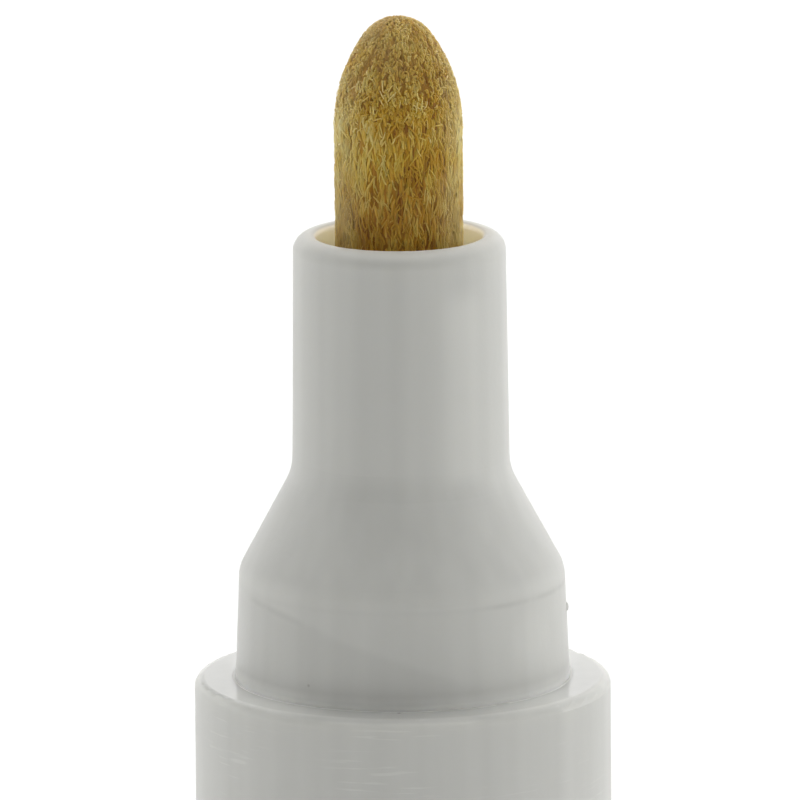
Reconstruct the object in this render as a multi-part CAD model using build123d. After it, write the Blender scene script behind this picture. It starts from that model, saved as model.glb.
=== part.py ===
from build123d import *
import math
import os

# A valve-action paint marker with a bullet nib, standing nib up on its posted cap.
# Millimetres, +Z along the axis towards the nib, origin in the middle of the cap's crown.
# Diameters grow outwards from the nib by the walls and gaps around it.

# Fits
PRESS_GAP = 0.02            # between pieces that are pressed or clamped together
SLIDE_GAP = 0.06            # radial, between the nib and its guide
COLLAR_GAP = 0.06           # radial, between the collar and the recess it sinks into
CAP_GAP = 0.12              # radial, between the cap and the two seats it fits
THREAD_CLEARANCE = 0.15     # radial, between the two threads

# Nib
NIB_DIAMETER = 4.0
NIB_PROJECTION = 6.84       # from the mouth's rim to the tip
NIB_NOSE_RADIUS = 1.0
NIB_OGIVE_RADIUS = 4.6
NIB_DEPTH = 12.5            # from the mouth's rim to the nib's tail
NIB_TAIL_CHAMFER = 0.3
NIB_TRAVEL = 1.8            # how far a press pushes the nib in

# Nib holder, outside
MOUTH_GAP = 0.55            # radial, between the nib and the open mouth
LIP_WIDTH = 0.71
LIP_OUTER_RADIUS = 0.5
LIP_OUTER_LIMIT = 0.72      # most of the lip's width that the outer rounding takes
LIP_INNER_RADIUS = 0.18
LIP_INNER_LIMIT = 0.26      # most of the lip's width that the inner rounding takes
NECK_DRAFT = 0.16           # growth of the diameter down the neck
NECK_LENGTH = 7.34
NECK_BLEND_RADIUS = 1.7
CONE_LENGTH = 3.08
COLLAR_DRAFT = 0.35         # growth of the diameter down the collar
COLLAR_LENGTH = 3.42        # what stands above the barrel's nose
COLLAR_BLEND_RADIUS = 1.05
COLLAR_SINK = 0.7           # how deep the collar sits in the nose's recess
COLLAR_FOOT_RADIUS = 0.15

# Nib holder, inside
MOUTH_DEPTH = 2.6
GUIDE_LENGTH = 6.0
GROOVE_COUNT = 4            # air grooves along the guide
GROOVE_WIDTH = 0.8
GROOVE_DEPTH = 0.4
CHAMBER_GAP = 0.95          # radial, between the nib and the wetting chamber
CHAMBER_TAPER = 1.2
SEAT_LEDGE = 0.25           # step that the valve seat is pushed against
STUB_WALL = 0.7

# Thread between the nib holder and the barrel, right-handed
THREAD_DEPTH = 0.5
THREAD_PITCH = 1.5
THREAD_TURNS = 3.0
THREAD_HALF_TURN = 0.5      # the barrel's ridge lies half a turn behind the holder's
THREAD_LEAD = 0.6           # plain length below and above the ridge
THREAD_FLANK_GAP = 0.2      # axial, between facing flanks
THREAD_FLANK_ANGLE = 20.0
THREAD_ROOTING = 0.1        # how far a ridge reaches into its wall

# Gasket under the collar
GASKET_SEAT = 0.775         # radial width of the collar's foot outside the thread
GASKET_THICKNESS = 0.5
GASKET_GAP = 0.1            # radial

# Valve
SEAT_CLEAR = 0.3            # left above the valve seat at full press
SEAT_HEIGHT = 2.4
SEAT_LIP_WIDTH = 0.4
SEAT_LIP_HEIGHT = 0.3
FLOW_GAP = 0.2              # radial, between the stem and the hole in the seat
STEM_DIAMETER = 2.4
STEM_RIB_WIDTH = 0.8
SEAL_THICKNESS = 0.6
SEAL_MARGIN = 0.1           # how far the seal stays inside the plunger's head
HEAD_THICKNESS = 1.0
HEAD_GAP = 0.35             # radial, paint's way past the plunger's head
PIN_DIAMETER = 1.6
PIN_GAP = 0.2               # radial, in the hole in the cage's floor
PIN_SETBACK = 0.3           # pin's end above the cage's underside at rest
CAGE_RING_WALL = 0.43
CAGE_GAP = 0.25             # radial, between the basket and the barrel's thread
CAGE_WALL = 0.8
CAGE_LENGTH = 6.0           # of the basket below the stub
CAGE_FLOOR = 1.0
WINDOW_COUNT = 4
WINDOW_WIDTH = 2.2
WINDOW_MARGIN = 0.8
SPRING_WIRE = 0.4
SPRING_MEAN_DIAMETER = 3.4
SPRING_TURNS = 5
SPRING_SAMPLES = 720        # points on the wire where its least gap is measured
SPRING_STRIDE = 12          # every so many of them is compared with all the rest

# Barrel
NOSE_RIM = 1.165            # wall around the recess
NOSE_LENGTH = 7.53          # of each of the two seats that the cap fits
NOSE_EDGE_RADIUS = 0.3
NOSE_EDGE_LIMIT = 0.7       # most of the rim that the edge's rounding takes
BARREL_LENGTH = 98.0        # between the two shoulders that the cap stops against
BARREL_WALL = 1.3
BARREL_EDGE_RADIUS = 0.45
THROAT_LENGTH = 2.0         # slope from the threaded bore to the reservoir
THROAT_PLAIN = 0.4

# Label sleeve, flush in a shallow recess round the barrel
LABEL_THICKNESS = 0.12
LABEL_END_GAP = 0.1         # between the sleeve's ends and the recess
LABEL_FRONT_MARGIN = 16.0   # bare barrel in front of the recess
LABEL_REAR_MARGIN = 10.0    # bare barrel behind the recess

# Tail plug and mixing balls
PLUG_FLANGE = 1.0
PLUG_FLANGE_SETBACK = 0.15
PLUG_SKIRT_LENGTH = 6.0
PLUG_WALL = 1.2
PLUG_EDGE_RADIUS = 0.6
BALL_DIAMETER = 4.0
BALL_GAP = 0.1              # from the middle plane, and from the floor at rest

# Cap
CAP_WALL = 1.13             # at the rim
CAP_CROWN_THICKNESS = 1.6
CAP_CROWN_TAPER = 0.35      # radial, from the rim to the crown
CAP_EDGE_RADIUS = 1.2
CAP_RIM_RADIUS = 0.3
CAP_STOP_GAP = 0.1          # between the cap's rim and the shoulder it stops at
LINER_WALL = 0.8
LINER_NECK_GAP = 0.4        # radial, around the neck
LINER_NIB_ROOM = 0.8        # beyond the nib's tip
LINER_STEP = 0.3            # between a seated nose and the liner's mouth
FLUTE_COUNT = 36            # positions all round, less those under the clip
FLUTE_RADIUS = 0.55
FLUTE_DEPTH = 0.22
FLUTE_START = 4.0           # below the rim
FLUTE_LENGTH = 9.0
CLIP_WIDTH = 4.2
CLIP_GAP = 1.1
CLIP_THICKNESS = 1.4
CLIP_ROOT_START = 2.2       # above the crown's face
CLIP_ROOT_LENGTH = 3.2
CLIP_END_SETBACK = 3.0      # below the cap's rim
CLIP_BEAD = 0.6
CLIP_BEAD_LENGTH = 2.4
CLIP_EDGE_RADIUS = 0.35
CLIP_BEND_SHARE = 0.9       # rounding of the bend at the root, by the clip's thickness
CLIP_END_SHARE = 0.45       # rounding of the free end, by the clip's thickness
CLIP_BEAD_RADIUS = 0.2
CLIP_CREVICE_SHARE = 0.4    # rounding inside the root, by the clip's gap
CLIP_REACH = 0.5            # how far the clip's root goes into the wall

# Radii that follow, from the nib outwards
NIB_RADIUS = NIB_DIAMETER / 2
GUIDE_RADIUS = NIB_RADIUS + SLIDE_GAP
MOUTH_RADIUS = NIB_RADIUS + MOUTH_GAP
NECK_TOP_RADIUS = MOUTH_RADIUS + LIP_WIDTH
NECK_BASE_RADIUS = NECK_TOP_RADIUS + NECK_DRAFT / 2
CHAMBER_RADIUS = NIB_RADIUS + CHAMBER_GAP
STUB_BORE_RADIUS = CHAMBER_RADIUS + SEAT_LEDGE
MALE_ROOT_RADIUS = STUB_BORE_RADIUS + STUB_WALL
MALE_CREST_RADIUS = MALE_ROOT_RADIUS + THREAD_DEPTH
FEMALE_ROOT_RADIUS = MALE_CREST_RADIUS + THREAD_CLEARANCE
FEMALE_CREST_RADIUS = MALE_ROOT_RADIUS + THREAD_CLEARANCE
COLLAR_BASE_RADIUS = MALE_CREST_RADIUS + GASKET_SEAT
COLLAR_TOP_RADIUS = COLLAR_BASE_RADIUS - COLLAR_DRAFT / 2
RECESS_RADIUS = COLLAR_BASE_RADIUS + COLLAR_GAP
NOSE_RADIUS = RECESS_RADIUS + NOSE_RIM
CAP_BORE_RADIUS = NOSE_RADIUS + CAP_GAP
BARREL_RADIUS = CAP_BORE_RADIUS + CAP_WALL
LABEL_RADIUS = BARREL_RADIUS - PRESS_GAP
LABEL_RECESS_RADIUS = LABEL_RADIUS - LABEL_THICKNESS - PRESS_GAP
RESERVOIR_RADIUS = BARREL_RADIUS - BARREL_WALL
PLUG_BORE_RADIUS = NOSE_RADIUS - PLUG_WALL
SEAT_HOLE_RADIUS = STEM_DIAMETER / 2 + FLOW_GAP
CAGE_RING_BORE_RADIUS = STUB_BORE_RADIUS - PRESS_GAP - CAGE_RING_WALL
BASKET_RADIUS = FEMALE_CREST_RADIUS - CAGE_GAP
HEAD_RADIUS = CAGE_RING_BORE_RADIUS - HEAD_GAP
PIN_HOLE_RADIUS = PIN_DIAMETER / 2 + PIN_GAP
BALL_RADIUS = BALL_DIAMETER / 2
BALL_OFFSET = BALL_RADIUS + BALL_GAP
LINER_MOUTH_RADIUS = COLLAR_BASE_RADIUS + CAP_GAP
LINER_RADIUS = LINER_MOUTH_RADIUS + LINER_WALL
LINER_TUBE_RADIUS = NECK_BASE_RADIUS + LINER_NECK_GAP
LINER_BORE_RADIUS = LINER_RADIUS + PRESS_GAP

# Heights that follow, from the cap's crown upwards
FRONT_LENGTH = COLLAR_LENGTH + CONE_LENGTH + NECK_LENGTH + NIB_PROJECTION
LINER_FLOOR = CAP_CROWN_THICKNESS + PRESS_GAP + LINER_WALL
CAP_LENGTH = LINER_FLOOR + LINER_NIB_ROOM + FRONT_LENGTH + NOSE_LENGTH
Z_LINER_MOUTH = CAP_LENGTH - NOSE_LENGTH - LINER_STEP
Z_PLUG_FLANGE = CAP_LENGTH + CAP_STOP_GAP
Z_TAIL = Z_PLUG_FLANGE - NOSE_LENGTH
Z_RESERVOIR_FLOOR = Z_TAIL + PLUG_WALL
Z_BARREL_REAR = Z_PLUG_FLANGE + PLUG_FLANGE + PRESS_GAP
Z_SHOULDER = Z_BARREL_REAR + BARREL_LENGTH
Z_LABEL_FOOT = Z_BARREL_REAR + LABEL_REAR_MARGIN
Z_LABEL_TOP = Z_SHOULDER - LABEL_FRONT_MARGIN
Z_NOSE_TOP = Z_SHOULDER + NOSE_LENGTH
Z_COLLAR_TOP = Z_NOSE_TOP + COLLAR_LENGTH
Z_CONE_TOP = Z_COLLAR_TOP + CONE_LENGTH
Z_RIM = Z_CONE_TOP + NECK_LENGTH
Z_TIP = Z_RIM + NIB_PROJECTION
Z_NIB_TAIL = Z_RIM - NIB_DEPTH
Z_COLLAR_FOOT = Z_NOSE_TOP - COLLAR_SINK
Z_RECESS_FLOOR = Z_COLLAR_FOOT - GASKET_THICKNESS - 2 * PRESS_GAP
Z_STUB_END = Z_RECESS_FLOOR - THREAD_PITCH * THREAD_TURNS - 2 * THREAD_LEAD
Z_THROAT = Z_STUB_END - THROAT_PLAIN
Z_SEAT_TOP = Z_NIB_TAIL - NIB_TRAVEL - SEAT_CLEAR
Z_SEAT_FOOT = Z_SEAT_TOP - SEAT_HEIGHT
Z_SEAL_TOP = Z_SEAT_FOOT - SEAT_LIP_HEIGHT - PRESS_GAP
Z_HEAD_TOP = Z_SEAL_TOP - SEAL_THICKNESS - PRESS_GAP
Z_HEAD_FOOT = Z_HEAD_TOP - HEAD_THICKNESS
Z_BASKET_TOP = Z_STUB_END - PRESS_GAP
Z_CAGE_FOOT = Z_BASKET_TOP - CAGE_LENGTH
Z_CAGE_FLOOR = Z_CAGE_FOOT + CAGE_FLOOR


def turned(*corners):
    """A solid of revolution about Z. Each corner is (radius, height) or (radius, height, rounding)."""
    points = [(corner[0], 0, corner[1]) for corner in corners]
    roundings = [corner[2] if len(corner) > 2 else 0 for corner in corners]
    return revolve(make_face(FilletPolyline(*points, radius=roundings, close=True)), Axis.Z)


def tube(inner, outer, bottom, top):
    """A plain ring or sleeve about Z."""
    return turned((inner, bottom), (outer, bottom), (outer, top), (inner, top))


def thread_ridge(root_radius, crest_radius, bottom, turns):
    """A right-hand helical ridge from its wall at root_radius to crest_radius."""
    outwards = math.copysign(1, crest_radius - root_radius)
    middle_width = THREAD_PITCH / 2 - THREAD_FLANK_GAP
    flank = THREAD_DEPTH / 2 * math.tan(math.radians(THREAD_FLANK_ANGLE))
    root_half = middle_width / 2 + flank
    crest_half = middle_width / 2 - flank
    buried = root_radius - outwards * THREAD_ROOTING
    section = Polyline(
        (buried, 0, bottom - root_half),
        (crest_radius, 0, bottom - crest_half),
        (crest_radius, 0, bottom + crest_half),
        (buried, 0, bottom + root_half),
        close=True,
    )
    path = Helix(THREAD_PITCH, THREAD_PITCH * turns, root_radius, center=(0, 0, bottom))
    return sweep(make_face(section), path=path, is_frenet=True)


def coil_path(radius, pitch, turns, bottom):
    """A right-hand coil about Z, as two tangent arcs for every quarter turn."""
    rise = pitch / (2 * math.pi)
    stations = []
    for step in range(round(turns * 4) + 1):
        angle = step * math.pi / 2
        place = Vector(radius * math.cos(angle), radius * math.sin(angle), bottom + rise * angle)
        heading = Vector(-radius * math.sin(angle), radius * math.cos(angle), rise).normalized()
        stations.append((place, heading))
    arcs = []
    for (start, leaving), (end, arriving) in zip(stations, stations[1:]):
        chord = end - start
        both = leaving + arriving
        square = 4 - both.dot(both)
        half = chord.dot(both)
        reach = (math.sqrt(half * half + square * chord.dot(chord)) - half) / square
        middle = (start + leaving * reach + end - arriving * reach) / 2
        first = TangentArc(start, middle, tangent=leaving)
        second = TangentArc(middle, end, tangent=first % 1)
        arcs += [first.edge(), second.edge()]
    return Wire(arcs)


def least_coil_gap(path, turns, wire):
    """The least distance between the wire's surfaces on neighbouring turns."""
    spots = [path.position_at(i / SPRING_SAMPLES) for i in range(SPRING_SAMPLES + 1)]
    apart = round(SPRING_SAMPLES / turns / 2)
    nearest = min(
        (spots[j] - spots[i]).length
        for i in range(0, len(spots), SPRING_STRIDE)
        for j in range(i + apart, len(spots))
    )
    return nearest - wire


def make_nib():
    """A fibre rod with a bullet point: a nose arc that runs into an ogive arc."""
    reach = NIB_OGIVE_RADIUS - NIB_NOSE_RADIUS
    inset = NIB_OGIVE_RADIUS - NIB_RADIUS
    rise = math.sqrt(reach**2 - inset**2)
    z_nose = Z_TIP - NIB_NOSE_RADIUS
    z_ogive = z_nose - rise
    joint = (NIB_NOSE_RADIUS * inset / reach, 0, z_nose + NIB_NOSE_RADIUS * rise / reach)
    tail = Polyline(
        (0, 0, Z_TIP),
        (0, 0, Z_NIB_TAIL),
        (NIB_RADIUS - NIB_TAIL_CHAMFER, 0, Z_NIB_TAIL),
        (NIB_RADIUS, 0, Z_NIB_TAIL + NIB_TAIL_CHAMFER),
        (NIB_RADIUS, 0, z_ogive),
    )
    ogive = TangentArc((NIB_RADIUS, 0, z_ogive), joint, tangent=(0, 0, 1))
    nose = TangentArc(joint, (0, 0, Z_TIP), tangent=ogive % 1)
    return revolve(make_face([*tail.edges(), ogive.edge(), nose.edge()]), Axis.Z)


def make_nib_holder():
    """Neck, cone and collar in one moulding, with a threaded stub that holds the valve."""
    outer_lip = min(LIP_OUTER_RADIUS, LIP_OUTER_LIMIT * LIP_WIDTH)
    inner_lip = min(LIP_INNER_RADIUS, LIP_INNER_LIMIT * LIP_WIDTH)
    z_guide_top = Z_RIM - MOUTH_DEPTH
    z_guide_foot = z_guide_top - GUIDE_LENGTH
    body = turned(
        (MOUTH_RADIUS, Z_RIM, inner_lip),
        (NECK_TOP_RADIUS, Z_RIM, outer_lip),
        (NECK_BASE_RADIUS, Z_CONE_TOP, NECK_BLEND_RADIUS),
        (COLLAR_TOP_RADIUS, Z_COLLAR_TOP, COLLAR_BLEND_RADIUS),
        (COLLAR_BASE_RADIUS, Z_COLLAR_FOOT, COLLAR_FOOT_RADIUS),
        (MALE_ROOT_RADIUS, Z_COLLAR_FOOT),
        (MALE_ROOT_RADIUS, Z_STUB_END),
        (STUB_BORE_RADIUS, Z_STUB_END),
        (STUB_BORE_RADIUS, Z_SEAT_TOP + PRESS_GAP),
        (CHAMBER_RADIUS, Z_SEAT_TOP + PRESS_GAP),
        (CHAMBER_RADIUS, z_guide_foot - CHAMBER_TAPER),
        (GUIDE_RADIUS, z_guide_foot),
        (GUIDE_RADIUS, z_guide_top),
        (MOUTH_RADIUS, z_guide_top),
    )
    groove_height = GUIDE_LENGTH + CHAMBER_TAPER
    for i in range(GROOVE_COUNT):
        groove = Box(
            GUIDE_RADIUS + GROOVE_DEPTH, GROOVE_WIDTH, groove_height, align=(Align.MIN, Align.CENTER, Align.MAX)
        )
        body -= Rot(0, 0, 360 * i / GROOVE_COUNT) * Pos(0, 0, z_guide_top) * groove
    return body + thread_ridge(MALE_ROOT_RADIUS, MALE_CREST_RADIUS, Z_STUB_END + THREAD_LEAD, THREAD_TURNS)


def make_section_gasket():
    """Flat rubber ring between the collar's foot and the floor of the nose's recess."""
    bottom = Z_RECESS_FLOOR + PRESS_GAP
    return tube(
        MALE_ROOT_RADIUS + GASKET_GAP, COLLAR_BASE_RADIUS - GASKET_GAP, bottom, bottom + GASKET_THICKNESS
    )


def make_valve_seat():
    """Insert with the paint's way through, and a lip below that the seal closes against."""
    lip = SEAT_HOLE_RADIUS + SEAT_LIP_WIDTH
    outer = STUB_BORE_RADIUS - PRESS_GAP
    z_lip = Z_SEAT_FOOT - SEAT_LIP_HEIGHT
    return turned(
        (SEAT_HOLE_RADIUS, z_lip),
        (lip, z_lip),
        (lip, Z_SEAT_FOOT),
        (outer, Z_SEAT_FOOT),
        (outer, Z_SEAT_TOP),
        (SEAT_HOLE_RADIUS, Z_SEAT_TOP),
    )


def make_valve_plunger():
    """Ribbed stem under the nib, a round boss for the seal, the closing head and a guide pin."""
    stem_radius = STEM_DIAMETER / 2
    boss_top = Z_SEAL_TOP
    stem_height = Z_NIB_TAIL - PRESS_GAP - boss_top
    stem = Pos(0, 0, boss_top) * Cylinder(
        stem_radius, stem_height, align=(Align.CENTER, Align.CENTER, Align.MIN)
    )
    ribs = None
    for turn in (0, 90):
        rib = Rot(0, 0, turn) * Pos(0, 0, boss_top) * Box(
            STEM_DIAMETER, STEM_RIB_WIDTH, stem_height, align=(Align.CENTER, Align.CENTER, Align.MIN)
        )
        ribs = rib if ribs is None else ribs + rib
    lower = turned(
        (0, boss_top),
        (stem_radius, boss_top),
        (stem_radius, Z_HEAD_TOP),
        (HEAD_RADIUS, Z_HEAD_TOP),
        (HEAD_RADIUS, Z_HEAD_FOOT),
        (PIN_DIAMETER / 2, Z_HEAD_FOOT),
        (PIN_DIAMETER / 2, Z_CAGE_FOOT + PIN_SETBACK),
        (0, Z_CAGE_FOOT + PIN_SETBACK),
    )
    return lower + (stem & ribs)


def make_plunger_seal():
    """Rubber washer round the plunger's boss."""
    return tube(
        STEM_DIAMETER / 2 + PRESS_GAP, HEAD_RADIUS - SEAL_MARGIN, Z_SEAL_TOP - SEAL_THICKNESS, Z_SEAL_TOP
    )


def make_valve_spring():
    """Coil between the cage's floor and the plunger's head."""
    bottom = Z_CAGE_FLOOR + PRESS_GAP + SPRING_WIRE / 2
    top = Z_HEAD_FOOT - PRESS_GAP - SPRING_WIRE / 2
    path = coil_path(SPRING_MEAN_DIAMETER / 2, (top - bottom) / SPRING_TURNS, SPRING_TURNS, bottom)
    print("valve_spring least gap", round(least_coil_gap(path, SPRING_TURNS, SPRING_WIRE), 3))
    return sweep(Plane(origin=path @ 0, z_dir=path % 0) * Circle(SPRING_WIRE / 2), path=path)


def make_valve_cage():
    """Windowed basket under the stub, with a ring that holds the valve seat in its bore."""
    ring_outer = STUB_BORE_RADIUS - PRESS_GAP
    basket_bore = BASKET_RADIUS - CAGE_WALL
    cage = turned(
        (CAGE_RING_BORE_RADIUS, Z_SEAT_FOOT - PRESS_GAP),
        (ring_outer, Z_SEAT_FOOT - PRESS_GAP),
        (ring_outer, Z_BASKET_TOP),
        (BASKET_RADIUS, Z_BASKET_TOP),
        (BASKET_RADIUS, Z_CAGE_FOOT),
        (PIN_HOLE_RADIUS, Z_CAGE_FOOT),
        (PIN_HOLE_RADIUS, Z_CAGE_FLOOR),
        (basket_bore, Z_CAGE_FLOOR),
        (basket_bore, Z_BASKET_TOP - CAGE_WALL),
        (CAGE_RING_BORE_RADIUS, Z_BASKET_TOP - CAGE_WALL),
    )
    top = Z_BASKET_TOP - CAGE_WALL - WINDOW_MARGIN
    window = Box(
        BASKET_RADIUS + CAGE_WALL, WINDOW_WIDTH, top - Z_CAGE_FLOOR, align=(Align.MIN, Align.CENTER, Align.MAX)
    )
    for i in range(WINDOW_COUNT):
        cage -= Rot(0, 0, 360 * i / WINDOW_COUNT) * Pos(0, 0, top) * window
    return cage


def make_barrel():
    """Reservoir tube with a reduced nose that takes the nib holder's thread and the cap."""
    body = turned(
        (RESERVOIR_RADIUS, Z_BARREL_REAR),
        (BARREL_RADIUS, Z_BARREL_REAR, BARREL_EDGE_RADIUS),
        (BARREL_RADIUS, Z_LABEL_FOOT),
        (LABEL_RECESS_RADIUS, Z_LABEL_FOOT),
        (LABEL_RECESS_RADIUS, Z_LABEL_TOP),
        (BARREL_RADIUS, Z_LABEL_TOP),
        (BARREL_RADIUS, Z_SHOULDER, BARREL_EDGE_RADIUS),
        (NOSE_RADIUS, Z_SHOULDER),
        (NOSE_RADIUS, Z_NOSE_TOP, min(NOSE_EDGE_RADIUS, NOSE_EDGE_LIMIT * NOSE_RIM)),
        (RECESS_RADIUS, Z_NOSE_TOP),
        (RECESS_RADIUS, Z_RECESS_FLOOR),
        (FEMALE_ROOT_RADIUS, Z_RECESS_FLOOR),
        (FEMALE_ROOT_RADIUS, Z_THROAT),
        (RESERVOIR_RADIUS, Z_THROAT - THROAT_LENGTH),
    )
    z_ridge = Z_STUB_END + THREAD_LEAD + THREAD_PITCH * THREAD_HALF_TURN
    return body + thread_ridge(
        FEMALE_ROOT_RADIUS, FEMALE_CREST_RADIUS, z_ridge, THREAD_TURNS - THREAD_HALF_TURN
    )


def make_label_sleeve():
    """Bare film sleeve in the recess round the middle of the barrel."""
    inner = LABEL_RADIUS - LABEL_THICKNESS
    return tube(inner, LABEL_RADIUS, Z_LABEL_FOOT + LABEL_END_GAP, Z_LABEL_TOP - LABEL_END_GAP)


def make_tail_plug():
    """Cup that closes the barrel's rear, with a seat that the cap is posted on."""
    skirt = RESERVOIR_RADIUS - PRESS_GAP
    flange = BARREL_RADIUS - PLUG_FLANGE_SETBACK
    z_flange_top = Z_PLUG_FLANGE + PLUG_FLANGE
    z_skirt_top = z_flange_top + PLUG_SKIRT_LENGTH
    return turned(
        (0, Z_TAIL),
        (NOSE_RADIUS, Z_TAIL, PLUG_EDGE_RADIUS),
        (NOSE_RADIUS, Z_PLUG_FLANGE),
        (flange, Z_PLUG_FLANGE),
        (flange, z_flange_top),
        (skirt, z_flange_top),
        (skirt, z_skirt_top),
        (PLUG_BORE_RADIUS, z_skirt_top),
        (PLUG_BORE_RADIUS, Z_RESERVOIR_FLOOR),
        (0, Z_RESERVOIR_FLOOR),
    )


def make_mixing_ball(side):
    """Steel ball loose in the reservoir, at rest on the tail plug's floor."""
    return Pos(side * BALL_OFFSET, 0, Z_RESERVOIR_FLOOR + BALL_GAP + BALL_RADIUS) * Sphere(BALL_RADIUS)


def make_cap_shell():
    """Outer cap, posted crown down, with grip flutes and a moulded pocket clip."""
    crown_radius = BARREL_RADIUS - CAP_CROWN_TAPER
    z_step = CAP_LENGTH - NOSE_LENGTH - LINER_STEP
    shell = turned(
        (0, 0),
        (crown_radius, 0, CAP_EDGE_RADIUS),
        (BARREL_RADIUS, CAP_LENGTH, CAP_RIM_RADIUS),
        (CAP_BORE_RADIUS, CAP_LENGTH),
        (CAP_BORE_RADIUS, z_step),
        (LINER_BORE_RADIUS, z_step),
        (LINER_BORE_RADIUS, CAP_CROWN_THICKNESS),
        (0, CAP_CROWN_THICKNESS),
    )
    flute_half_angle = 180 / FLUTE_COUNT
    clip_half_angle = math.degrees(math.asin((CLIP_WIDTH / 2 + FLUTE_RADIUS) / BARREL_RADIUS))
    z_flute = CAP_LENGTH - FLUTE_START - FLUTE_LENGTH
    flute = Pos(BARREL_RADIUS + FLUTE_RADIUS - FLUTE_DEPTH, 0, z_flute) * Cylinder(
        FLUTE_RADIUS, FLUTE_LENGTH, align=(Align.CENTER, Align.CENTER, Align.MIN)
    )
    for i in range(FLUTE_COUNT):
        turn = (2 * i + 1) * flute_half_angle
        if abs(turn - 270) > clip_half_angle:
            shell -= Rot(0, 0, turn) * flute
    return shell + make_clip()


def make_clip():
    """Springy bar along the cap, rooted near the crown, with a bead at its free end."""
    inside = BARREL_RADIUS + CLIP_GAP
    outside = inside + CLIP_THICKNESS
    z_end = CAP_LENGTH - CLIP_END_SETBACK
    z_root = CLIP_ROOT_START + CLIP_ROOT_LENGTH
    buried = BARREL_RADIUS - CAP_CROWN_TAPER - CLIP_REACH
    bend = CLIP_THICKNESS * CLIP_BEND_SHARE
    end = CLIP_THICKNESS * CLIP_END_SHARE
    side = FilletPolyline(
        (0, -buried, CLIP_ROOT_START),
        (0, -outside, CLIP_ROOT_START),
        (0, -outside, z_end),
        (0, -inside + CLIP_BEAD, z_end),
        (0, -inside + CLIP_BEAD, z_end - CLIP_BEAD_LENGTH / 2),
        (0, -inside, z_end - CLIP_BEAD_LENGTH),
        (0, -inside, z_root),
        (0, -buried, z_root),
        radius=[0, bend, end, CLIP_BEAD_RADIUS, CLIP_BEAD_RADIUS, 0, CLIP_GAP * CLIP_CREVICE_SHARE, 0],
        close=True,
    )
    bar = extrude(make_face(side), amount=CLIP_WIDTH / 2, dir=(1, 0, 0), both=True)
    outer_edges = bar.faces().sort_by(Axis.Y)[0].edges().filter_by(Axis.Z)
    return fillet(outer_edges, CLIP_EDGE_RADIUS)


def make_cap_liner():
    """Inner cup of the cap: a mouth that seals round the collar, and a closed tube over the nib."""
    z_outer_floor = CAP_CROWN_THICKNESS + PRESS_GAP
    z_cone_top = Z_LINER_MOUTH - COLLAR_LENGTH
    z_cone_foot = z_cone_top - CONE_LENGTH
    return turned(
        (0, z_outer_floor),
        (LINER_TUBE_RADIUS + LINER_WALL, z_outer_floor),
        (LINER_TUBE_RADIUS + LINER_WALL, z_cone_foot),
        (LINER_RADIUS, z_cone_top),
        (LINER_RADIUS, Z_LINER_MOUTH),
        (LINER_MOUTH_RADIUS, Z_LINER_MOUTH),
        (LINER_MOUTH_RADIUS, z_cone_top),
        (LINER_TUBE_RADIUS, z_cone_foot),
        (LINER_TUBE_RADIUS, LINER_FLOOR),
        (0, LINER_FLOOR),
    )


PIECES = {
    "nib": make_nib(),
    "nib_holder": make_nib_holder(),
    "section_gasket": make_section_gasket(),
    "valve_seat": make_valve_seat(),
    "valve_plunger": make_valve_plunger(),
    "plunger_seal": make_plunger_seal(),
    "valve_spring": make_valve_spring(),
    "valve_cage": make_valve_cage(),
    "barrel": make_barrel(),
    "label_sleeve": make_label_sleeve(),
    "tail_plug": make_tail_plug(),
    "mixing_ball_1": make_mixing_ball(1),
    "mixing_ball_2": make_mixing_ball(-1),
    "cap_shell": make_cap_shell(),
    "cap_liner": make_cap_liner(),
}

os.makedirs("parts", exist_ok=True)
for name, piece in PIECES.items():
    export_step(piece, f"parts/{name}.step")

print("tip height", round(Z_TIP, 3), "rim height", round(Z_RIM, 3), "nose top", round(Z_NOSE_TOP, 3))
print("lift in a full unscrewing", round(THREAD_PITCH * (THREAD_TURNS + THREAD_HALF_TURN), 3))
ball_ceiling = Z_CAGE_FOOT - NIB_TRAVEL - BALL_GAP
print("ball travel", round(ball_ceiling - Z_RESERVOIR_FLOOR - BALL_GAP - BALL_DIAMETER, 3))
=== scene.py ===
"""A paint marker with a bullet nib, standing nib up on its posted cap: its finishes and its fibre nib.

Lengths are metres, as in the frame. Sizes given in millimetres are multiplied by MM.
Noise scales are marks per metre. A pair of values is a soft edge: from where it begins to where it is full.
"""
import math

import bpy
import numpy as np
from mathutils import Matrix, Vector


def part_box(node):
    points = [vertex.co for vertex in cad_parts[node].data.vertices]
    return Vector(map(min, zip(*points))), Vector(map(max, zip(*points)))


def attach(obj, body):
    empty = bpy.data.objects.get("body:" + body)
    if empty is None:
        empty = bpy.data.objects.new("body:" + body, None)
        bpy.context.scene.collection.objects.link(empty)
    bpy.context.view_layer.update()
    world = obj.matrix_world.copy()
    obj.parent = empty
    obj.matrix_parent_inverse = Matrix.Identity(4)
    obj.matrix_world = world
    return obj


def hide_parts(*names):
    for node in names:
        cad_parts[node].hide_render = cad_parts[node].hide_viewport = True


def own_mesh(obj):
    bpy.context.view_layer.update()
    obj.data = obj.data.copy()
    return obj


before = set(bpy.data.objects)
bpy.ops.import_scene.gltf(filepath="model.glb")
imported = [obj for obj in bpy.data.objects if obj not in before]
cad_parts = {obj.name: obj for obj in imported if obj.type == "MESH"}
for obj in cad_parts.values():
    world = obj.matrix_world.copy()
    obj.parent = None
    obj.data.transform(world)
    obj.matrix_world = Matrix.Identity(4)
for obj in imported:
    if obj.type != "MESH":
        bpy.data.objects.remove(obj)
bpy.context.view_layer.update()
MM = 0.001

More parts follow.
